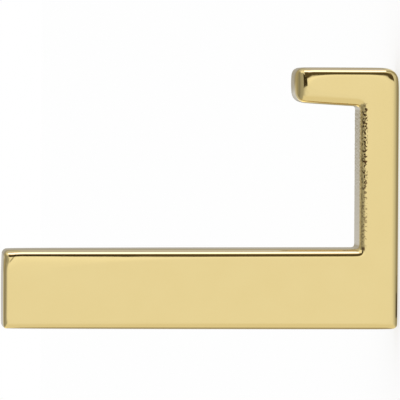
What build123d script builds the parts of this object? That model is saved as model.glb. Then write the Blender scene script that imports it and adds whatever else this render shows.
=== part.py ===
"""A coat hook: one solid brass J, polished all over and screwed on from behind.

Millimetres. The back of the hook is the plane Y = 0, with the wall on its +Y side.
The arm reaches out along -Y, +Z is up, and X = 0 is the plane of symmetry.
"""

import os
from math import radians, tan

from build123d import *

# Overall sizes
height = 80.0
projection = 52.9
width = 12.0

# Back bar, a little slimmer at its free upper end
bar_depth_top = 16.05
bar_depth_root = 16.3

# Arm that reaches out from the foot of the bar
arm_thickness = 8.0

# Lip that turns up at the end of the arm and gets thinner towards its tip
lip_height = 21.1
lip_root_thickness = 7.85
lip_tip_thickness = 7.1

# Round that runs all the way along the edges of both side faces
edge_radius = 1.3

# How much rounder than that each outside corner of the J is
wall_corner_ease = 0.1
bar_top_corner_ease = 0.2
toe_corner_ease = 1.3
lip_outer_corner_ease = 0.3
lip_inner_corner_ease = 0.9

# Radii left in the two inside corners of the throat
bar_throat_radius = 1.0
lip_throat_radius = 0.9

# Two blind M4 holes in the back, at the tapping size
screw_spacing = 64.0
tap_drill_diameter = 3.3
drill_depth = 12.0
drill_point_angle = 118.0
mouth_diameter = 4.4
mouth_angle = 90.0

# Places worked out from the sizes above
top = height / 2
bottom = -height / 2
throat_floor = bottom + arm_thickness
lip_tip = bottom + lip_height
drill_radius = tap_drill_diameter / 2
drill_point_length = drill_radius / tan(radians(drill_point_angle / 2))

# Corners of the J in the YZ plane, from the foot of the bar round by the toe,
# the lip and the throat to the top of the bar, each with its radius
corners = [
    ((0, bottom), edge_radius + wall_corner_ease),
    ((-projection, bottom), edge_radius + toe_corner_ease),
    ((-projection, lip_tip), edge_radius + lip_outer_corner_ease),
    ((-projection + lip_tip_thickness, lip_tip), edge_radius + lip_inner_corner_ease),
    ((-projection + lip_root_thickness, throat_floor), lip_throat_radius),
    ((-bar_depth_root, throat_floor), bar_throat_radius),
    ((-bar_depth_top, top), edge_radius + bar_top_corner_ease),
    ((0, top), edge_radius + wall_corner_ease),
]

with BuildPart() as hook:
    # The J, drawn from the side and given its width
    with BuildSketch(Plane.YZ):
        with BuildLine():
            FilletPolyline(
                *[place for place, radius in corners],
                radius=[radius for place, radius in corners],
                close=True,
            )
        make_face()
    extrude(amount=width / 2, both=True)

    # One soft round along every edge of the two side faces
    side_faces = hook.faces().filter_by(Axis.X)
    fillet(side_faces.edges(), radius=edge_radius)

    # Holes for the fixing screws, drilled from the wall side and eased at the mouth
    back = Plane(origin=(0, 0, 0), x_dir=(1, 0, 0), z_dir=(0, 1, 0))
    with Locations(back):
        with GridLocations(0, screw_spacing, 1, 2):
            CounterSinkHole(
                radius=drill_radius,
                counter_sink_radius=mouth_diameter / 2,
                depth=drill_depth,
                counter_sink_angle=mouth_angle,
            )
    with Locations(back.offset(-drill_depth)):
        with GridLocations(0, screw_spacing, 1, 2):
            Cone(
                bottom_radius=0,
                top_radius=drill_radius,
                height=drill_point_length,
                align=(Align.CENTER, Align.CENTER, Align.MAX),
                mode=Mode.SUBTRACT,
            )

hook.part.label = "hook"

os.makedirs("parts", exist_ok=True)
export_step(hook.part, "parts/hook.step")
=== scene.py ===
"""Looks of a square J-shaped coat hook in solid polished brass.

Metres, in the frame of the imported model: the wall is the plane Y = 0, the arm reaches
out along -Y and +Z is up. The photograph shows the hook from its -X side, laid on its back.
"""

from math import atan2, copysign, cos, pi, radians, sin, sqrt, tan

import bmesh
import bpy
from bpy.props import FloatProperty, FloatVectorProperty, IntProperty, PointerProperty
from mathutils import Matrix, Vector


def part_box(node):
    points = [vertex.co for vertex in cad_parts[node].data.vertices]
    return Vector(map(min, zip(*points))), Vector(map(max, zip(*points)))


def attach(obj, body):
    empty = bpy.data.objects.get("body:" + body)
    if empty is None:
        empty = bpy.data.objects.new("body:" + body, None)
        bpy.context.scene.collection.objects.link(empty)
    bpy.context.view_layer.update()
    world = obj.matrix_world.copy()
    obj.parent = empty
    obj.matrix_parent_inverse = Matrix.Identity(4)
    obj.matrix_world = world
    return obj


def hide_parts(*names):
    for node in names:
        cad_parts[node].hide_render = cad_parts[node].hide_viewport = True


bl_info = {
    "name": "Brass Coat Hook",
    "version": (1, 0, 0),
    "blender": (4, 5, 0),
    "location": "3D View > Sidebar > Coat Hook",
    "description": "Builds a square J-shaped brass coat hook, its finish and a small studio",
    "category": "Add Mesh",
}

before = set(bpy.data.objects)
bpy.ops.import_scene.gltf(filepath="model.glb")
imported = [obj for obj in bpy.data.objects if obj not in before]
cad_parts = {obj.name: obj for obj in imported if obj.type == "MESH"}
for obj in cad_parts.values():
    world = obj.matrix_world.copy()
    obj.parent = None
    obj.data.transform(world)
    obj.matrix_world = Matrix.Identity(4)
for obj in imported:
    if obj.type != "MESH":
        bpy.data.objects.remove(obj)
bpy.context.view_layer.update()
HOOK_LOW, HOOK_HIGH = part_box("hook")

MM = 0.001

# Points this near share a place, and edges are rounded alike if their widths agree to a micrometre
NEAR = 0.01 * MM
WIDTH_DECIMALS = 6

# An edge this sharp is rounded, and a face that leans this little is a flat
SHARP_DEGREES = 30
FLAT_DEGREES = 5
FLAT_SHARE = cos(radians(FLAT_DEGREES))

# How finely the metal is divided: along the arm, along its cast skin, round a hole, along a thread's turn
ARM_STEPS = 4
SKIN_CUTS = 7
ROUND_STEPS = 32
THREAD_STEPS = 8

# An arc cuts its corner by this share of its radius, in pulls that reach so many radii each
ARC_CUT = 1 - sqrt(0.5)
PULLS = (1.7, 0.9)

# What is left of the casting's skin where it has faded, the angle of the drill's point, and the turns
# of thread that the tap can't cut at the bottom
SKIN_LEAST = 0.25
DRILL_POINT = 118
TAP_LEFT = 3

# Sizes of the patterns in the metal. Buffing marks and belt lines are finer on the real metal, and are
# drawn as coarse as they need to show.
PATCH_SIZE = 7 * MM
BUFF_MARK_LENGTH = 6 * MM
BUFF_MARK_WIDTH = 0.25 * MM
BUFF_DEPTH = 0.004 * MM
BELT_LINE_LENGTH = 12 * MM
BELT_LINE_WIDTH = 0.15 * MM
BELT_LINE_DEPTH = 0.02 * MM
TOOL_MARK_SIZE = 0.4 * MM

# How strongly they show, and the roughness that each finish spans
SPECK_START, SPECK_FULL = 0.52, 0.57
PIT_DETAIL = 1.0
BELT_DETAIL = 3.0
BUFF_STRENGTH = 0.15
BELT_STRENGTH = 0.4
BUFFED_LOW, BUFFED_HIGH = 0.04, 0.09
GROUND_LOW, GROUND_HIGH = 0.22, 0.42
CUT_LOW, CUT_HIGH = 0.15, 0.35
CAST_ROUGHNESS = 0.07
LACQUER_WEIGHT, LACQUER_ROUGHNESS = 0.5, 0.04

# Four zones of the edges, as shares along each zone and up or across it: casting skin that the wheel
# leaves on the arm's upper edges, a painted dark reflection on the edge under the foot, painted shade
# in the throat's nook, and a painted dark reflection in a line that slants across the corner at the
# bar's free end
SKIN_ALONG = ((0, 0), (0.05, 1), (0.5, 1), (0.65, 0.6), (0.95, 0.5), (1, 0))
SKIN_UP = ((0.02, 0), (0.12, 1), (0.34, 1), (0.5, 0.35), (0.75, 0))
# Painted dark reflection along the underside edge, near the wall
FOOT_FROM, FOOT_TO = -11.2 * MM, -2.2 * MM
FOOT_ALONG = ((0, 0), (0.05, 0.25), (0.38, 0.35), (0.46, 0.85), (0.8, 1), (0.95, 1), (1, 0))
FOOT_UP = ((0.14, 0), (0.22, 1), (0.34, 1), (0.42, 0))
# Painted shade in the throat's inside corner, where the arm meets the bar
NOOK_ALONG = ((0.2, 0), (0.4, 0.9), (0.55, 0.9), (0.75, 0))
NOOK_UP = ((0.1, 0), (0.25, 1), (0.6, 1), (0.75, 0))
# Painted dark reflection across the front corner at the bar's free end
END_SLOPE = -1.2
END_FROM, END_TO = 1.2 * MM, 2.7 * MM
END_ALONG = ((0, 0), (0.2, 0.5), (0.6, 0.7), (0.8, 0.6), (1, 0))
END_LOW, END_HIGH = 3.8 * MM, 4.4 * MM
END_ACROSS = ((0, 0), (0.35, 1), (0.65, 1), (1, 0))


def linear(hex_colour):
    """Linear red, green and blue of an sRGB hex colour."""
    channels = [int(hex_colour[i : i + 2], 16) / 255 for i in (1, 3, 5)]
    return tuple(c / 12.92 if c <= 0.04045 else ((c + 0.055) / 1.055) ** 2.4 for c in channels)


def length(name, millimetres, description, least=0.0):
    """A size or place that a user can change, given here in millimetres."""
    limits = {} if least is None else {"min": least}
    return FloatProperty(
        name=name,
        description=description,
        default=millimetres * MM,
        precision=5,
        subtype="DISTANCE",
        unit="LENGTH",
        **limits,
    )


def colour(name, hex_colour, description):
    """A colour that a user can change."""
    return FloatVectorProperty(
        name=name,
        description=description,
        default=linear(hex_colour),
        size=3,
        min=0.0,
        max=1.0,
        subtype="COLOR",
    )


class HookShape(bpy.types.PropertyGroup):
    """Sizes of the cast J and of the rounding left by polishing"""

    bar_depth_top: length("Bar depth at top", 16.05, "Depth of the back bar at its free end")
    bar_depth_root: length("Bar depth at root", 16.3, "Depth of the back bar where the arm starts")
    arm_thickness: length("Arm", 8.0, "Thickness of the arm")
    lip_height: length("Lip height", 21.25, "From the underside of the arm to the tip of the lip")
    lip_root_thickness: length("Lip root", 7.85, "Thickness of the lip where it leaves the arm")
    lip_tip_thickness: length("Lip tip", 7.1, "Thickness of the lip at its tip")
    throat_corner: length("Throat corners", 1.1, "How far the throat's inside corners are rounded")
    bar_end_edge: length("Bar end edges", 1.05, "Rounding at the free end of the bar")
    bar_front_edge: length("Bar front edges", 1.72, "Rounding of the bar's edges towards the room")
    arm_bar_edge: length("Arm edges at bar", 1.0, "Rounding of the arm's upper edges at the bar")
    arm_lip_edge: length("Arm edges at lip", 1.35, "Rounding of the arm's upper edges at the lip")
    lip_inner_edge: length("Lip inner edges", 1.9, "Rounding of the lip's edges towards the throat")
    lip_tip_edge: length("Lip tip edges", 2.42, "Rounding of the lip's edges at its tip")
    lip_outer_edge: length("Lip outer edges", 1.3, "Rounding of the lip's edges towards the room")
    underside_edge: length("Underside edges", 1.45, "Rounding of the edges under the arm")
    back_edge: length("Back edges", 1.25, "Rounding of the edges at the wall")
    bar_front_corner: length("Bar front corner", 1.3, "Corner at the free end, away from the wall")
    bar_wall_corner: length("Bar wall corner", 0.85, "Corner at the free end, at the wall")
    foot_corner: length("Foot corner", 1.1, "Corner under the arm, at the wall")
    toe_corner: length("Toe corner", 2.7, "Corner under the lip")
    tip_outer_corner: length("Tip outer corner", 1.7, "Corner of the tip on the outside")
    tip_inner_corner: length("Tip inner corner", 2.2, "Corner of the tip towards the throat")
    bar_front_flat: length("Bar front flat", 1.6, "Radius of the flat's corner at the bar's front")
    bar_wall_flat: length("Bar wall flat", 0.8, "Radius of the flat's corner at the bar's back")
    foot_flat: length("Foot flat", 0.8, "Radius of the flat's corner at the foot")
    toe_flat: length("Toe flat", 1.25, "Radius of the flat's corner at the toe")
    tip_outer_flat: length("Tip outer flat", 0.85, "Radius of the flat's corner at the tip, outside")
    tip_inner_flat: length("Tip inner flat", 0.6, "Radius of the flat's corner at the tip, in the throat")
    skin_fade_start: length("Skin fade start", -33.0, "Depth at which the cast skin starts to fade", None)
    skin_fade_end: length("Skin fade end", -26.0, "Depth from which little cast skin is left", None)
    skin_grain: length("Skin grain", 0.45, "Size of the bumps in the cast skin")
    skin_depth: length("Skin depth", 0.12, "From the lowest to the highest bump in the cast skin")
    flat_border: length("Flat border", 0.6, "Width of the border in which a flat starts to turn")
    edge_segments: IntProperty(
        name="Edge segments",
        description="Faces across each rounded edge before polishing",
        default=4,
        min=1,
    )
    polish_levels: IntProperty(
        name="Polish levels",
        description="How often the faces are subdivided",
        default=3,
        min=1,
    )


class HookFixing(bpy.types.PropertyGroup):
    """Sizes of the two tapped holes in the back"""

    spacing: length("Spacing", 64.0, "Distance between the two holes")
    drill_diameter: length("Drill", 3.3, "Diameter of the drilled hole")
    thread_diameter: length("Thread", 4.0, "Diameter of the thread at its root in the wall")
    pitch: length("Pitch", 0.7, "Rise of the thread in one turn")
    depth: length("Depth", 12.0, "Depth of the drilled hole to the start of its point")
    mouth_diameter: length("Mouth", 4.4, "Diameter of the countersunk mouth")


class HookFinish(bpy.types.PropertyGroup):
    """Colours of the brass in its finishes"""

    polished: colour("Polished brass", "#E8D394", "Lacquered mirror polish")
    polished_deep: colour("Polished brass, deep", "#E5CF8E", "The same where the wheel left it uneven")
    ground: colour("Ground brass", "#DCC68A", "Back face, ground flat")
    ground_deep: colour("Ground brass, deep", "#C4AA6B", "The belt's lines in the back face")
    # Besides the skin's specks, this colour paints the dark reflections and the shade on the edges
    cast: colour("Cast skin", "#5A3C08", "Specks of casting skin and dried compound")


class HookStage(bpy.types.PropertyGroup):
    """Where the camera stands and what it frames"""

    camera_distance: length("Camera distance", 1108.0, "From the camera to the near side face")
    camera_rise: length("Camera rise", 86.0, "How far the camera is above the hook's middle")
    camera_forward: length("Camera forward", 58.0, "How far the camera is out from the wall")
    aim_rise: length("Aim rise", 0.38, "How far the picture's middle is above the hook's middle")
    aim_forward: length("Aim forward", 26.12, "How far the picture's middle is out from the wall")
    camera_roll: FloatProperty(
        name="Camera roll",
        description="How far the camera is turned about its own line of sight",
        default=radians(0.3),
        subtype="ANGLE",
        unit="ROTATION",
    )
    frame_width: length("Frame width", 80.57, "Width of the picture at its middle")


def select_only(piece):
    """Makes a piece the one selected, active object."""
    bpy.ops.object.select_all(action="DESELECT")
    piece.select_set(True)
    bpy.context.view_layer.objects.active = piece


def pick(kind, wanted):
    """Selects the VERT, EDGE or FACE elements of the mesh in edit mode that wanted accepts."""
    bpy.ops.mesh.select_mode(type=kind)
    bpy.ops.mesh.select_all(action="DESELECT")
    mesh = bmesh.from_edit_mesh(bpy.context.edit_object.data)
    for element in {"VERT": mesh.verts, "EDGE": mesh.edges, "FACE": mesh.faces}[kind]:
        if wanted(element):
            element.select_set(True)
    mesh.select_flush_mode()
    bmesh.update_edit_mesh(bpy.context.edit_object.data)


def at(element, **places):
    """Tells if all points of an edge or face lie at the given x, y or z."""
    return all(
        abs(getattr(vertex.co, axis) - place) < NEAR
        for vertex in element.verts
        for axis, place in places.items()
    )


def push(**by):
    """Extrudes the selected faces and moves them by x, y or z."""
    move = (by.get("x", 0), by.get("y", 0), by.get("z", 0))
    bpy.ops.mesh.extrude_region_move(TRANSFORM_OT_translate={"value": move})


def shift(**by):
    """Moves what is selected by x, y or z."""
    bpy.ops.transform.translate(value=(by.get("x", 0), by.get("y", 0), by.get("z", 0)))


def apply_modifier(piece, kind, **settings):
    """Adds a modifier with its settings and applies it."""
    select_only(piece)
    bpy.ops.object.modifier_add(type=kind)
    modifier = piece.modifiers[-1]
    for name, value in settings.items():
        setattr(modifier, name, value)
    bpy.ops.object.modifier_apply(modifier=modifier.name)


class HookPlaces:
    """Heights and depths of the J's corners, from its sizes and the frame's box."""

    def __init__(self, shape):
        self.side = HOOK_HIGH.x
        self.top = HOOK_HIGH.z
        self.bottom = HOOK_LOW.z
        self.outside = HOOK_LOW.y
        self.wall = HOOK_HIGH.y
        self.bar_root = -shape.bar_depth_root
        self.bar_top = -shape.bar_depth_top
        self.floor = self.bottom + shape.arm_thickness
        self.tip = self.bottom + shape.lip_height
        self.lip_root = self.outside + shape.lip_root_thickness
        self.lip_tip = self.outside + shape.lip_tip_thickness


def block_out(place):
    """The J with sharp edges: a bar, the arm pushed out of its foot and the lip out of the arm."""
    bar_size = (2 * place.side, -place.bar_root, place.top - place.bottom)
    bpy.ops.mesh.primitive_cube_add(size=1, location=(0, place.bar_root / 2, 0), scale=bar_size)
    piece = bpy.context.active_object
    piece.name = "coat_hook"
    piece.data.name = "coat_hook"
    bpy.ops.object.transform_apply(location=True, rotation=True, scale=True)

    bpy.ops.object.mode_set(mode="EDIT")
    bpy.ops.mesh.select_all(action="SELECT")
    bpy.ops.mesh.bisect(plane_co=(0, 0, place.floor), plane_no=(0, 0, 1))
    pick("FACE", lambda f: at(f, y=place.bar_root) and f.calc_center_median().z < place.floor)
    push(y=place.lip_root - place.bar_root)
    push(y=place.outside - place.lip_root)
    pick("FACE", lambda f: at(f, z=place.floor) and f.calc_center_median().y < place.lip_root)
    push(z=place.tip - place.floor)

    # The bar and the lip get thinner towards their free ends
    pick("VERT", lambda v: abs(v.co.z - place.tip) < NEAR and abs(v.co.y - place.lip_root) < NEAR)
    shift(y=place.lip_tip - place.lip_root)
    pick("VERT", lambda v: abs(v.co.z - place.top) < NEAR and abs(v.co.y - place.bar_root) < NEAR)
    shift(y=place.bar_top - place.bar_root)
    return piece


def cut_across(shape, place):
    """Cuts beside the throat's inside corners keep them tight, and others along the arm let its
    edges change."""
    reach = shape.throat_corner
    first, last = place.bar_root - 2 * reach, place.lip_root + 2 * reach
    depths = [first + (last - first) * step / ARM_STEPS for step in range(ARM_STEPS + 1)]
    depths += [place.bar_root - reach, place.lip_root + reach]
    cuts = [((0, depth, 0), (0, 1, 0)) for depth in depths]
    cuts += [((0, 0, place.floor + times * reach), (0, 0, 1)) for times in (1, 2)]
    for point, normal in cuts:
        bpy.ops.mesh.select_all(action="SELECT")
        bpy.ops.mesh.bisect(plane_co=point, plane_no=normal)


def between(value, low, high, at_low, at_high):
    """Goes from at_low to at_high as value goes from low to high, and stays there."""
    share = min(max((value - low) / (high - low), 0), 1)
    return at_low + (at_high - at_low) * share


def edge_width(edge, shape, place):
    """How wide a sharp edge is rounded, from where it runs."""
    corners = (
        (shape.bar_front_corner, place.bar_top, place.top),
        (shape.bar_wall_corner, place.wall, place.top),
        (shape.foot_corner, place.wall, place.bottom),
        (shape.toe_corner, place.outside, place.bottom),
        (shape.tip_outer_corner, place.outside, place.tip),
        (shape.tip_inner_corner, place.lip_tip, place.tip),
    )
    for width, depth, rise in corners:
        if at(edge, y=depth, z=rise):
            return width
    straight = (
        (shape.bar_end_edge, {"z": place.top}),
        (shape.lip_tip_edge, {"z": place.tip}),
        (shape.lip_outer_edge, {"y": place.outside}),
        (shape.underside_edge, {"z": place.bottom}),
        (shape.back_edge, {"y": place.wall}),
    )
    for width, line in straight:
        if at(edge, **line):
            return width
    middle = (edge.verts[0].co + edge.verts[1].co) / 2
    if middle.z < place.floor + NEAR:
        return between(
            middle.y, place.lip_root, place.bar_root, shape.arm_lip_edge, shape.arm_bar_edge
        )
    if middle.y < (place.lip_root + place.bar_root) / 2:
        return between(
            middle.z,
            place.floor,
            place.floor + 2 * shape.throat_corner,
            shape.arm_lip_edge,
            shape.lip_inner_edge,
        )
    return between(
        middle.z,
        place.floor,
        place.floor + 2 * shape.throat_corner,
        shape.arm_bar_edge,
        shape.bar_front_edge,
    )


def round_edges(piece, shape, place):
    """Rounds every outside edge in one go, each by its own width."""

    def width_of(edge):
        if edge.calc_face_angle_signed(0) < radians(SHARP_DEGREES):
            return 0
        return round(edge_width(edge, shape, place), WIDTH_DECIMALS)

    mesh = bmesh.from_edit_mesh(piece.data)
    widths = {width_of(edge) for edge in mesh.edges} - {0}
    for width in sorted(widths):
        pick("EDGE", lambda e: width_of(e) == width)
        bpy.ops.transform.edge_bevelweight(value=width / max(widths))
    bpy.ops.object.mode_set(mode="OBJECT")
    apply_modifier(
        piece,
        "BEVEL",
        limit_method="WEIGHT",
        width=max(widths),
        segments=shape.edge_segments,
        use_clamp_overlap=False,
    )


def polish(piece, shape, place):
    """Frames each flat with a narrow border and subdivides, so that only the edges go soft."""
    mid_depth = (place.bar_root + place.lip_root) / 2
    mid_height = (place.floor + place.tip) / 2

    def in_throat(face):
        middle = face.calc_center_median()
        return (
            (face.normal.z > FLAT_SHARE and middle.z < mid_height)
            or (face.normal.y < -FLAT_SHARE and middle.y > mid_depth)
            or (face.normal.y > FLAT_SHARE and middle.y < mid_depth)
        )

    bpy.ops.object.mode_set(mode="EDIT")
    pick("FACE", in_throat)
    bpy.ops.mesh.inset(thickness=shape.flat_border)
    for axis in range(3):
        for way in (-1, 1):
            pick("FACE", lambda f: f.normal[axis] * way > FLAT_SHARE and not in_throat(f))
            bpy.ops.mesh.inset(thickness=shape.flat_border)
    bpy.ops.object.mode_set(mode="OBJECT")
    levels = shape.polish_levels
    apply_modifier(piece, "SUBSURF", levels=levels, render_levels=levels)


def dub_corners(piece, shape, place):
    """Draws in the corners of the side faces' flats to arcs, where the buffing wheel takes most."""
    bar_front, bar_end = (place.bar_top, shape.bar_front_edge), (place.top, -shape.bar_end_edge)
    wall, underside = (place.wall, -shape.back_edge), (place.bottom, shape.underside_edge)
    front, tip = (place.outside, shape.lip_outer_edge), (place.tip, -shape.lip_tip_edge)
    throat = (place.lip_tip, -shape.lip_inner_edge)
    corners = (
        (shape.bar_front_flat, bar_front, bar_end),
        (shape.bar_wall_flat, wall, bar_end),
        (shape.foot_flat, wall, underside),
        (shape.toe_flat, front, underside),
        (shape.tip_outer_flat, front, tip),
        (shape.tip_inner_flat, throat, tip),
    )
    bpy.ops.object.mode_set(mode="EDIT")
    for radius, (y, y_edge), (z, z_edge) in corners:
        inwards = radius * ARC_CUT / len(PULLS)
        for side in (-place.side, place.side):
            corner = Vector((side, y + y_edge, z + z_edge))
            mesh = bmesh.from_edit_mesh(piece.data)
            nearest = min(mesh.verts, key=lambda v: (v.co - corner).length).index
            pick("VERT", lambda v: v.index == nearest)
            for reach in PULLS:
                bpy.ops.transform.translate(
                    value=(0, copysign(inwards, y_edge), copysign(inwards, z_edge)),
                    use_proportional_edit=True,
                    proportional_edit_falloff="SMOOTH",
                    proportional_size=radius * reach,
                )
    bpy.ops.object.mode_set(mode="OBJECT")


def leave_cast_skin(piece, shape, place):
    """Roughens the arm's upper edges, where the wheel doesn't reach and the casting's skin is left."""
    high = place.floor + NEAR
    low = place.floor - shape.arm_lip_edge - shape.flat_border
    bpy.ops.object.mode_set(mode="EDIT")

    def runs_along(edge):
        start, end = (vertex.co for vertex in edge.verts)
        inside = low < min(start.z, end.z) and max(start.z, end.z) < high
        between_walls = place.lip_root < min(start.y, end.y) and max(start.y, end.y) < place.bar_root
        lengthwise = abs(start.y - end.y) > abs(start.z - end.z) + abs(start.x - end.x)
        return inside and between_walls and lengthwise

    pick("EDGE", runs_along)
    bpy.ops.mesh.subdivide(number_cuts=SKIN_CUTS, ngon=True)
    bpy.ops.object.mode_set(mode="OBJECT")
    skin = piece.vertex_groups.new(name="cast_skin")
    for vertex in piece.data.vertices:
        x, y, z = vertex.co
        if low < z < high and place.lip_root < y < place.bar_root:
            rough = between(y, shape.skin_fade_start, shape.skin_fade_end, 1, SKIN_LEAST)
            rough *= between(abs(x), place.side - shape.skin_depth / 2, place.side, 1, 0)
            rough *= between(z, low, low + shape.flat_border, 0, 1)
            rough *= between(y, place.lip_root, place.lip_root + shape.throat_corner, 0, 1)
            rough *= between(y, place.bar_root - shape.throat_corner, place.bar_root, 1, 0)
            skin.add([vertex.index], rough, "REPLACE")
    grain = bpy.data.textures.new("cast_skin", "CLOUDS")
    grain.noise_scale = shape.skin_grain
    apply_modifier(
        piece,
        "DISPLACE",
        texture=grain,
        texture_coords="LOCAL",
        vertex_group=skin.name,
        strength=shape.skin_depth,
    )
    piece.vertex_groups.clear()
    bpy.data.textures.remove(grain)


def tap_cutter(fixing):
    """What the drill, the countersink and the tap take away, about the Y axis and open end first."""
    radius = fixing.drill_diameter / 2
    mouth_depth = (fixing.mouth_diameter - fixing.drill_diameter) / 2
    straight = fixing.depth - mouth_depth
    bpy.ops.object.select_all(action="DESELECT")
    bpy.ops.mesh.primitive_cylinder_add(
        vertices=ROUND_STEPS,
        radius=radius,
        depth=straight,
        location=(0, -mouth_depth - straight / 2, 0),
        rotation=(pi / 2, 0, 0),
    )
    cutter = bpy.context.active_object
    bpy.ops.object.transform_apply(location=True, rotation=True)
    bpy.ops.object.mode_set(mode="EDIT")
    pick("EDGE", lambda e: abs(e.verts[0].co.y - e.verts[1].co.y) > NEAR)
    bpy.ops.mesh.subdivide(number_cuts=round(straight / fixing.pitch * THREAD_STEPS))
    pick("FACE", lambda f: at(f, y=-mouth_depth))
    push(y=mouth_depth)
    widen = fixing.mouth_diameter / fixing.drill_diameter
    bpy.ops.transform.resize(value=(widen, 1, widen))
    push(y=mouth_depth)
    pick("FACE", lambda f: at(f, y=-fixing.depth))
    push(y=-radius / tan(radians(DRILL_POINT / 2)))
    bpy.ops.mesh.merge(type="CENTER")
    bpy.ops.object.mode_set(mode="OBJECT")

    # The tap's groove winds into the hole to the right and runs out before the bottom
    groove = fixing.thread_diameter / 2 - radius
    run_out = TAP_LEFT * fixing.pitch - fixing.depth
    for vertex in cutter.data.vertices:
        x, y, z = vertex.co
        if -fixing.depth + NEAR < y < -mouth_depth - NEAR:
            winding = (y / fixing.pitch + atan2(z, x) / (2 * pi)) % 1
            cut = groove * (1 - abs(2 * winding - 1))
            cut *= between(y, run_out - fixing.pitch, run_out, 0, 1)
            vertex.co = Vector((x * (1 + cut / radius), y, z * (1 + cut / radius)))
    return cutter


def tap_holes(piece, fixing, metal):
    """Drills and taps the two blind holes in the back, which show the bare metal."""
    cutter = tap_cutter(fixing)
    cutter.data.materials.append(metal)
    apply_modifier(
        cutter,
        "ARRAY",
        count=2,
        use_relative_offset=False,
        use_constant_offset=True,
        constant_offset_displace=(0, 0, fixing.spacing),
    )
    cutter.location.z = -fixing.spacing / 2
    apply_modifier(
        piece,
        "BOOLEAN",
        object=cutter,
        operation="DIFFERENCE",
        solver="EXACT",
        material_mode="TRANSFER",
    )
    bpy.data.objects.remove(cutter)


class COATHOOK_OT_body(bpy.types.Operator):
    """Model the solid brass J, with its edges rounded by polishing"""

    bl_idname = "coat_hook.body"
    bl_label = "Hook Body"

    def execute(self, context):
        shape = context.scene.hook_shape
        place = HookPlaces(shape)
        bpy.ops.object.select_all(action="DESELECT")
        piece = block_out(place)
        cut_across(shape, place)
        round_edges(piece, shape, place)
        polish(piece, shape, place)
        dub_corners(piece, shape, place)
        leave_cast_skin(piece, shape, place)
        finish = context.scene.hook_finish
        piece.data.materials.append(polished_brass(finish, shape, place))
        piece.data.materials.append(ground_brass(finish))
        for face in piece.data.polygons:
            face.material_index = int(face.normal.y > FLAT_SHARE and face.center.y > -shape.flat_border)
        tap_holes(piece, context.scene.hook_fixing, cut_brass(finish))
        select_only(piece)
        bpy.ops.object.shade_smooth_by_angle(angle=radians(SHARP_DEGREES))
        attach(piece, "root")
        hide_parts("hook")
        return {"FINISHED"}


def add_node(tree, kind, inputs=None, links=None, stops=None, **settings):
    """Adds a node with its settings, inputs and colour stops, and links others' outputs to it."""
    node = tree.nodes.new(kind)
    for name, value in settings.items():
        setattr(node, name, value)
    for name, value in (inputs or {}).items():
        socket_of(node, name).default_value = value
    for name, output in (links or {}).items():
        tree.links.new(output, socket_of(node, name))
    for index, (position, colour_stop) in enumerate(stops or []):
        elements = node.color_ramp.elements
        element = elements[index] if index < 2 else elements.new(position)
        element.position = position
        element.color = (*colour_stop, 1)
    return node


def socket_of(node, name):
    """The input of that name or number that the node's settings switch on."""
    if isinstance(name, int):
        return node.inputs[name]
    return next(s for s in node.inputs if s.name == name and s.enabled)


def new_material(name):
    """An empty node material and its tree."""
    material = bpy.data.materials.new(name)
    material.use_nodes = True
    material.node_tree.nodes.clear()
    return material, material.node_tree


def edge_zones(tree, where, shape, place):
    """How much casting skin is left on the arm's upper edges, and how much painted dark reflection
    under the foot, painted shade in the throat's nook and painted dark reflection across the corner
    at the bar's free end, in that order."""
    axes = add_node(tree, "ShaderNodeSeparateXYZ", links={"Vector": where})
    slant = add_node(
        tree,
        "ShaderNodeMath",
        operation="MULTIPLY_ADD",
        inputs={1: END_SLOPE},
        links={0: axes.outputs["Z"], 2: axes.outputs["Y"]},
    )
    ways = {"Y": axes.outputs["Y"], "Z": axes.outputs["Z"], "slant": slant.outputs[0]}
    reach = shape.throat_corner
    skin_low = place.floor - shape.arm_lip_edge - shape.flat_border / 2
    nook_low = place.floor - shape.arm_bar_edge - shape.flat_border / 2
    bar_end = place.bar_top + END_SLOPE * place.top
    spans_by_zone = (
        (
            ("Y", place.lip_root - reach, place.bar_root, SKIN_ALONG),
            ("Z", skin_low, place.floor + reach, SKIN_UP),
        ),
        (
            ("Y", FOOT_FROM, FOOT_TO, FOOT_ALONG),
            ("Z", place.bottom, place.bottom + shape.underside_edge, FOOT_UP),
        ),
        (
            ("Y", place.bar_root - reach, place.bar_root + reach, NOOK_ALONG),
            ("Z", nook_low, place.floor, NOOK_UP),
        ),
        (
            ("Z", place.top - END_TO, place.top - END_FROM, END_ALONG),
            ("slant", bar_end + END_LOW, bar_end + END_HIGH, END_ACROSS),
        ),
    )
    zones = []
    for spans in spans_by_zone:
        shares = []
        for axis, start, end, stops in spans:
            way = add_node(
                tree,
                "ShaderNodeMapRange",
                inputs={"From Min": start, "From Max": end},
                links={"Value": ways[axis]},
            )
            share = add_node(
                tree,
                "ShaderNodeValToRGB",
                links={"Fac": way.outputs[0]},
                stops=[(position, [value] * 3) for position, value in stops],
            )
            shares.append(share.outputs[0])
        zone = add_node(
            tree, "ShaderNodeMath", operation="MULTIPLY", links={0: shares[0], 1: shares[1]}
        )
        zones.append(zone.outputs[0])
    return zones


def dark_marks(tree, where, shape, place):
    """The share of casting skin, and of all that is dark: the specks in that skin, the painted dark
    reflections and the painted shade.
    """
    skin, *painted_shade_and_reflections = edge_zones(tree, where, shape, place)
    pits = add_node(
        tree,
        "ShaderNodeTexNoise",
        inputs={"Scale": 1 / shape.skin_grain, "Detail": PIT_DETAIL},
        links={"Vector": where},
    )
    specks = add_node(
        tree,
        "ShaderNodeMapRange",
        inputs={"From Min": SPECK_START, "From Max": SPECK_FULL},
        links={"Value": pits.outputs["Fac"]},
    )
    dark = add_node(
        tree, "ShaderNodeMath", operation="MULTIPLY", links={0: skin, 1: specks.outputs[0]}
    )
    # Painted dark reflections under the foot and at the bar's free end, and painted shade in the nook
    for mark in painted_shade_and_reflections:
        dark = add_node(
            tree, "ShaderNodeMath", operation="MAXIMUM", links={0: dark.outputs[0], 1: mark}
        )
    return skin, dark.outputs[0]


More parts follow.
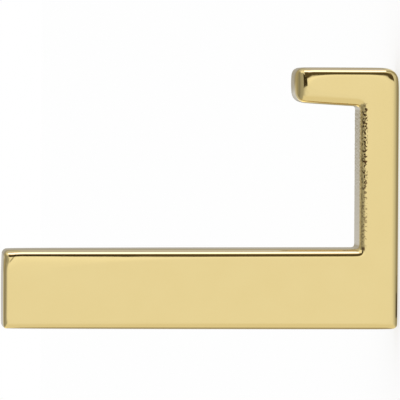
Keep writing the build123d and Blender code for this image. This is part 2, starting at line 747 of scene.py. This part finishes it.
def polished_brass(finish, shape, place):
    """Cast brass, ground, buffed to a mirror and lacquered: a bright, even yellow with a clear gloss.
    The buffing leaves hair-fine marks and a faint unevenness, and casting skin stays dark where the
    wheel doesn't reach. A dark reflection under the foot and at the bar's free end, and shade in the
    throat's nook, are painted on in the skin's colour."""
    material, tree = new_material("polished_lacquered_brass")
    where = add_node(tree, "ShaderNodeTexCoord").outputs["Object"]

    # Faint patches, some millimetres wide, as the wheel leaves them
    patches = add_node(
        tree,
        "ShaderNodeTexNoise",
        inputs={"Scale": 1 / PATCH_SIZE},
        links={"Vector": where},
    )
    metal = add_node(
        tree,
        "ShaderNodeMix",
        data_type="RGBA",
        inputs={"A": (*finish.polished, 1), "B": (*finish.polished_deep, 1)},
        links={"Factor": patches.outputs["Fac"]},
    )

    # Buffing marks run across the hook's width, far longer than wide
    drawn_out = add_node(
        tree,
        "ShaderNodeMapping",
        inputs={"Scale": (1 / BUFF_MARK_LENGTH, 1 / BUFF_MARK_WIDTH, 1 / BUFF_MARK_WIDTH)},
        links={"Vector": where},
    )
    marks = add_node(
        tree, "ShaderNodeTexNoise", inputs={"Scale": 1.0}, links={"Vector": drawn_out.outputs[0]}
    )

    # Casting skin, painted dark reflections and painted shade cover the metal
    skin, dark = dark_marks(tree, where, shape, place)
    surface = add_node(
        tree,
        "ShaderNodeMix",
        data_type="RGBA",
        inputs={"B": (*finish.cast, 1)},
        links={"Factor": dark, "A": metal.outputs["Result"]},
    )
    buffed = add_node(
        tree,
        "ShaderNodeMapRange",
        inputs={"To Min": BUFFED_LOW, "To Max": BUFFED_HIGH},
        links={"Value": marks.outputs["Fac"]},
    )
    roughness = add_node(
        tree,
        "ShaderNodeMix",
        data_type="FLOAT",
        inputs={"B": CAST_ROUGHNESS},
        links={"Factor": skin, "A": buffed.outputs[0]},
    )
    uneven = add_node(
        tree,
        "ShaderNodeBump",
        inputs={"Strength": BUFF_STRENGTH, "Distance": BUFF_DEPTH},
        links={"Height": patches.outputs["Fac"]},
    )
    shader = add_node(
        tree,
        "ShaderNodeBsdfPrincipled",
        inputs={
            "Metallic": 1.0,
            "Coat Weight": LACQUER_WEIGHT,
            "Coat Roughness": LACQUER_ROUGHNESS,
        },
        links={
            "Base Color": surface.outputs["Result"],
            "Roughness": roughness.outputs["Result"],
            "Normal": uneven.outputs[0],
        },
    )
    add_node(tree, "ShaderNodeOutputMaterial", links={"Surface": shader.outputs[0]})
    return material


def ground_brass(finish):
    """Brass ground flat on a belt and left so: satin, with fine parallel lines along the bar."""
    material, tree = new_material("belt_ground_brass")
    where = add_node(tree, "ShaderNodeTexCoord").outputs["Object"]
    drawn_out = add_node(
        tree,
        "ShaderNodeMapping",
        inputs={"Scale": (1 / BELT_LINE_WIDTH, 1 / BELT_LINE_WIDTH, 1 / BELT_LINE_LENGTH)},
        links={"Vector": where},
    )
    lines = add_node(
        tree,
        "ShaderNodeTexNoise",
        inputs={"Scale": 1.0, "Detail": BELT_DETAIL},
        links={"Vector": drawn_out.outputs[0]},
    )
    metal = add_node(
        tree,
        "ShaderNodeMix",
        data_type="RGBA",
        inputs={"A": (*finish.ground_deep, 1), "B": (*finish.ground, 1)},
        links={"Factor": lines.outputs["Fac"]},
    )
    roughness = add_node(
        tree,
        "ShaderNodeMapRange",
        inputs={"To Min": GROUND_LOW, "To Max": GROUND_HIGH},
        links={"Value": lines.outputs["Fac"]},
    )
    scratched = add_node(
        tree,
        "ShaderNodeBump",
        inputs={"Strength": BELT_STRENGTH, "Distance": BELT_LINE_DEPTH},
        links={"Height": lines.outputs["Fac"]},
    )
    shader = add_node(
        tree,
        "ShaderNodeBsdfPrincipled",
        inputs={"Metallic": 1.0},
        links={
            "Base Color": metal.outputs["Result"],
            "Roughness": roughness.outputs[0],
            "Normal": scratched.outputs[0],
        },
    )
    add_node(tree, "ShaderNodeOutputMaterial", links={"Surface": shader.outputs[0]})
    return material


def cut_brass(finish):
    """Freshly drilled and tapped brass: bright, with the tool's rings showing as uneven gloss."""
    material, tree = new_material("tapped_brass")
    where = add_node(tree, "ShaderNodeTexCoord").outputs["Object"]
    rings = add_node(
        tree,
        "ShaderNodeTexNoise",
        inputs={"Scale": 1 / TOOL_MARK_SIZE},
        links={"Vector": where},
    )
    metal = add_node(
        tree,
        "ShaderNodeMix",
        data_type="RGBA",
        inputs={"A": (*finish.ground_deep, 1), "B": (*finish.polished, 1)},
        links={"Factor": rings.outputs["Fac"]},
    )
    roughness = add_node(
        tree,
        "ShaderNodeMapRange",
        inputs={"To Min": CUT_LOW, "To Max": CUT_HIGH},
        links={"Value": rings.outputs["Fac"]},
    )
    shader = add_node(
        tree,
        "ShaderNodeBsdfPrincipled",
        inputs={"Metallic": 1.0},
        links={"Base Color": metal.outputs["Result"], "Roughness": roughness.outputs[0]},
    )
    add_node(tree, "ShaderNodeOutputMaterial", links={"Surface": shader.outputs[0]})
    return material


class COATHOOK_OT_stage(bpy.types.Operator):
    """Set up the pale floor, the soft light and the camera"""

    bl_idname = "coat_hook.stage"
    bl_label = "Studio"

    def execute(self, context):
        stage = context.scene.hook_stage
        add_world(context.scene)
        add_floor()
        add_flag()
        add_camera(context.scene, stage)
        context.scene.view_settings.view_transform = "Standard"
        return {"FINISHED"}


# What the brass mirrors, in degrees and brightness, where 1 shows the metal in its own colour.
# Turn is counted from the side face in view towards the front of the hook, and rise is upwards.
# In front of that face stands a large white card that fades up and down, and behind is a grey room.
WHOLE_TURN, WHOLE_RISE = 360, 180
FRONT_TINT, BEHIND_TINT = "#FFFFFF", "#FFF8E6"
FRONT = (
    (-90, 0.34),
    (-75, 0.45),
    (-55, 0.68),
    (-34, 0.82),
    (-22, 0.95),
    (-12, 1.0),
    (4, 1.0),
    (7, 0.93),
    (12, 0.77),
    (19, 0.62),
    (31, 0.46),
    (54, 0.41),
    (65, 0.33),
    (77, 0.27),
    (86, 0.35),
    (90, 0.37),
)
BEHIND = (
    (-90, 0.34),
    (-60, 0.36),
    (-10, 0.45),
    (4, 0.42),
    (20, 0.38),
    (46, 0.44),
    (66, 0.46),
    (81, 0.4),
    (90, 0.37),
)

# Which turns see the front card and not the room
FRONT_SHARE = ((-150, 0.0), (-118, 1.0), (45, 1.0), (60, 0.0))

# Smaller cards in front of that, each over those above it in the list: turn from, to and soft edge,
# the same in rise, how far the card leans in degrees of turn for each degree down, its brightness and
# its colour
CARDS = (
    ((-183, -110, 3), (-34, -9, 1.5), 0, 0.95, "#FFFFFF"),
    ((110, 183, 3), (-34, -9, 1.5), 0, 0.95, "#FFFFFF"),
    ((-120, -16, 8), (-40, 30, 8), 0, 0.9, "#FFFBF0"),
    ((-178.6, -120, 0.7), (1, 60, 6), 0, 0.64, "#FFFFFF"),
    ((-179, -92, 6), (-9, -2.2, 0.6), 0, 0.45, "#FFF6E0"),
    ((-165, -112, 8), (1, 16, 3), 0, 1.5, "#FFF1C4"),
    ((1, 20, 2), (-8, 4, 3), 0, 1.15, "#FFFFFF"),
    ((7.7, 40, 1.2), (-33, 9, 1.5), 0, 0.32, "#FFEFD0"),
    ((7.7, 28, 1.2), (-33, 9, 1.5), 0, 0.1, "#FFE6B5"),
    ((75, 125, 5), (-27, 60, 8), 0, 0.75, "#EEF1FF"),
    ((75, 128, 4), (-9, -1, 1), 0, 1.0, "#D4D8FF"),
    ((20, 70, 3), (10, 48, 3), 0, 1.1, "#FFFFFF"),
    ((38.5, 66, 2), (-14.5, 8, 1.2), 0.9, 2.9, "#E2DFFF"),
)
BRIGHTEST = max(light for _, _, _, light, _ in CARDS)

# The dark gear round the lens, in degrees as the tip of the lip sees it
FLAG_TURN = (-3.1, 9.5)
FLAG_RISE = (5, 27)
FLAG_DISTANCE = 220 * MM
FLAG_LEVEL = -20 * MM
FLAG_COLOUR = "#3F3829"

# The floor lies just clear of the hook, and the camera sees it lifted most of the way to white
FLOOR_GAP = 0.2 * MM
FLOOR_RADIUS = 1500 * MM
FLOOR_STEPS = 64
FLOOR_COLOUR = "#FCFCFC"
FLOOR_LIFT = 0.7
NEAREST_SEEN = 10 * MM
WHITE = (1, 1, 1, 1)


def place_on_ramp(degrees, whole):
    """Where an angle about zero lies on a ramp that spans a whole number of degrees."""
    return (degrees + whole / 2) / whole


def card_stops(low, high, soft, whole):
    """Colour stops that are white between two angles and fade to black past them."""
    steps = ((low - soft, 0), (low + soft, 1), (high - soft, 1), (high + soft, 0))
    return [(place_on_ramp(degrees, whole), [share] * 3) for degrees, share in steps]


def tinted(light, tint):
    """Colour of a card of that brightness and tint, as a share of the brightest."""
    return [channel * light / BRIGHTEST for channel in linear(tint)]


def hang_card(tree, card, behind, turn, rise, rise_share):
    """Colours of the studio with one more card in front of what is behind it."""
    turns, rises, lean, light, tint = card
    leaned = add_node(
        tree,
        "ShaderNodeMath",
        operation="MULTIPLY_ADD",
        inputs={1: lean},
        links={0: rise.outputs[0], 2: turn.outputs[0]},
    )
    leaned_share = add_node(
        tree,
        "ShaderNodeMapRange",
        inputs={"From Min": -pi, "From Max": pi},
        links={"Value": leaned.outputs[0]},
    )
    across = add_node(
        tree,
        "ShaderNodeValToRGB",
        links={"Fac": leaned_share.outputs[0]},
        stops=card_stops(*turns, WHOLE_TURN),
    )
    upwards = add_node(
        tree,
        "ShaderNodeValToRGB",
        links={"Fac": rise_share.outputs[0]},
        stops=card_stops(*rises, WHOLE_RISE),
    )
    inside = add_node(
        tree,
        "ShaderNodeMath",
        operation="MULTIPLY",
        links={0: across.outputs[0], 1: upwards.outputs[0]},
    )
    return add_node(
        tree,
        "ShaderNodeMix",
        data_type="RGBA",
        inputs={"B": (*tinted(light, tint), 1)},
        links={"Factor": inside.outputs[0], "A": behind.outputs["Result"]},
    )


def mirrored_studio(tree):
    """Colours of the studio by turn and rise: the front card, the room behind and the smaller cards."""
    where = add_node(tree, "ShaderNodeTexCoord")
    axes = add_node(tree, "ShaderNodeSeparateXYZ", links={"Vector": where.outputs["Generated"]})
    to_front, to_side = [
        add_node(
            tree,
            "ShaderNodeMath",
            operation="MULTIPLY",
            inputs={1: -1.0},
            links={0: axes.outputs[axis]},
        )
        for axis in ("Y", "X")
    ]
    turn = add_node(
        tree,
        "ShaderNodeMath",
        operation="ARCTAN2",
        links={0: to_front.outputs[0], 1: to_side.outputs[0]},
    )
    rise = add_node(tree, "ShaderNodeMath", operation="ARCSINE", links={0: axes.outputs["Z"]})
    turn_share, rise_share = [
        add_node(
            tree,
            "ShaderNodeMapRange",
            inputs={"From Min": -most, "From Max": most},
            links={"Value": angle.outputs[0]},
        )
        for angle, most in ((turn, pi), (rise, pi / 2))
    ]
    front, behind = [
        add_node(
            tree,
            "ShaderNodeValToRGB",
            links={"Fac": rise_share.outputs[0]},
            stops=[(place_on_ramp(degrees, WHOLE_RISE), tinted(light, tint)) for degrees, light in steps],
        )
        for steps, tint in ((FRONT, FRONT_TINT), (BEHIND, BEHIND_TINT))
    ]
    front_share = add_node(
        tree,
        "ShaderNodeValToRGB",
        links={"Fac": turn_share.outputs[0]},
        stops=[(place_on_ramp(degrees, WHOLE_TURN), [share] * 3) for degrees, share in FRONT_SHARE],
    )
    studio = add_node(
        tree,
        "ShaderNodeMix",
        data_type="RGBA",
        links={"Factor": front_share.outputs[0], "A": behind.outputs[0], "B": front.outputs[0]},
    )
    for card in CARDS:
        studio = hang_card(tree, card, studio, turn, rise, rise_share)
    return studio


def add_world(scene):
    """A white room that only the brass sees in detail: mirrored rays meet the cards."""
    world = bpy.data.worlds.new("studio")
    scene.world = world
    world.use_nodes = True
    tree = world.node_tree
    tree.nodes.clear()
    mirrored = add_node(
        tree,
        "ShaderNodeBackground",
        inputs={"Strength": BRIGHTEST},
        links={"Color": mirrored_studio(tree).outputs["Result"]},
    )
    white = add_node(tree, "ShaderNodeBackground", inputs={"Color": WHITE, "Strength": 1.0})
    path = add_node(tree, "ShaderNodeLightPath")
    choice = add_node(
        tree,
        "ShaderNodeMixShader",
        links={0: path.outputs["Is Glossy Ray"], 1: white.outputs[0], 2: mirrored.outputs[0]},
    )
    add_node(tree, "ShaderNodeOutputWorld", links={"Surface": choice.outputs[0]})


def add_floor():
    """A pale matt floor under the hook, as white as the room, which keeps the hook's soft shadow."""
    bpy.ops.mesh.primitive_circle_add(
        vertices=FLOOR_STEPS,
        radius=FLOOR_RADIUS,
        fill_type="NGON",
        location=(0, 0, HOOK_LOW.z - FLOOR_GAP),
    )
    floor = bpy.context.active_object
    floor.name = "floor"
    bpy.ops.object.transform_apply(location=True)
    material, tree = new_material("pale_matt_floor")
    matt = add_node(tree, "ShaderNodeBsdfDiffuse", inputs={"Color": (*linear(FLOOR_COLOUR), 1)})
    white = add_node(tree, "ShaderNodeEmission", inputs={"Color": WHITE, "Strength": 1.0})
    path = add_node(tree, "ShaderNodeLightPath")
    lift = add_node(
        tree,
        "ShaderNodeMath",
        operation="MULTIPLY",
        inputs={1: FLOOR_LIFT},
        links={0: path.outputs["Is Camera Ray"]},
    )
    both = add_node(
        tree,
        "ShaderNodeMixShader",
        links={0: lift.outputs[0], 1: matt.outputs[0], 2: white.outputs[0]},
    )
    add_node(tree, "ShaderNodeOutputMaterial", links={"Surface": both.outputs[0]})
    floor.data.materials.append(material)
    floor.visible_glossy = False


def add_flag():
    """The dark gear round the lens, which only the brass sees: it stands so near that the tip of the
    lip mirrors it and the end of the bar hardly does."""
    (left, right), (low, high) = FLAG_TURN, FLAG_RISE
    turn, rise = radians((left + right) / 2), radians((low + high) / 2)
    towards = Vector((-cos(turn) * cos(rise), -sin(turn) * cos(rise), sin(rise)))
    width, height = (
        2 * FLAG_DISTANCE * tan(radians(end - start) / 2) for start, end in (FLAG_TURN, FLAG_RISE)
    )
    bpy.ops.mesh.primitive_plane_add(
        size=1,
        location=Vector((HOOK_LOW.x, HOOK_LOW.y, FLAG_LEVEL)) + FLAG_DISTANCE * towards,
        rotation=towards.to_track_quat("Z", "Y").to_euler(),
    )
    flag = bpy.context.active_object
    flag.name = "flag"
    flag.scale = (width, height, 1)
    bpy.ops.object.transform_apply(location=True, rotation=True, scale=True)
    material, tree = new_material("dark_cloth")
    dark = add_node(tree, "ShaderNodeEmission", inputs={"Color": (*linear(FLAG_COLOUR), 1)})
    add_node(tree, "ShaderNodeOutputMaterial", links={"Surface": dark.outputs[0]})
    flag.data.materials.append(material)
    flag.visible_camera = False
    flag.visible_diffuse = False
    flag.visible_shadow = False


def add_camera(scene, stage):
    """The photograph's view: the near side face almost square on, with the wall at the bottom."""
    near_side = HOOK_LOW.x
    aim = Vector((near_side, -stage.aim_forward, stage.aim_rise))
    eye = Vector((near_side - stage.camera_distance, -stage.camera_forward, stage.camera_rise))
    back = (eye - aim).normalized()
    upright = Matrix.Rotation(stage.camera_roll, 3, back) @ Vector((0, -1, 0))
    right = upright.cross(back).normalized()
    up = back.cross(right)
    camera_data = bpy.data.cameras.new("camera")
    camera_data.lens = camera_data.sensor_width * (eye - aim).length / stage.frame_width
    camera_data.clip_start = NEAREST_SEEN
    camera = bpy.data.objects.new("camera", camera_data)
    camera.matrix_world = Matrix.Translation(eye) @ Matrix((right, up, back)).transposed().to_4x4()
    scene.collection.objects.link(camera)
    scene.camera = camera


class COATHOOK_PT_sidebar(bpy.types.Panel):
    """Sizes, colours and steps of the coat hook"""

    bl_idname = "COATHOOK_PT_sidebar"
    bl_label = "Coat Hook"
    bl_space_type = "VIEW_3D"
    bl_region_type = "UI"
    bl_category = "Coat Hook"

    def draw(self, context):
        layout = self.layout
        for operator in OPERATORS:
            layout.operator(operator.bl_idname)
        for group_name in GROUPS:
            group = getattr(context.scene, group_name)
            box = layout.box()
            for name in group.__annotations__:
                box.prop(group, name)


GROUPS = {
    "hook_shape": HookShape,
    "hook_fixing": HookFixing,
    "hook_finish": HookFinish,
    "hook_stage": HookStage,
}
OPERATORS = (COATHOOK_OT_body, COATHOOK_OT_stage)


def register():
    """Makes the groups, operators and panel known to Blender."""
    for name, group in GROUPS.items():
        bpy.utils.register_class(group)
        setattr(bpy.types.Scene, name, PointerProperty(type=group))
    for operator in OPERATORS:
        bpy.utils.register_class(operator)
    bpy.utils.register_class(COATHOOK_PT_sidebar)


def unregister():
    """Takes them away again."""
    bpy.utils.unregister_class(COATHOOK_PT_sidebar)
    for operator in reversed(OPERATORS):
        bpy.utils.unregister_class(operator)
    for name, group in reversed(GROUPS.items()):
        delattr(bpy.types.Scene, name)
        bpy.utils.unregister_class(group)


def main():
    """Builds the hook and its studio."""
    register()
    bpy.ops.coat_hook.body()
    bpy.ops.coat_hook.stage()


if __name__ == "__main__":
    main()
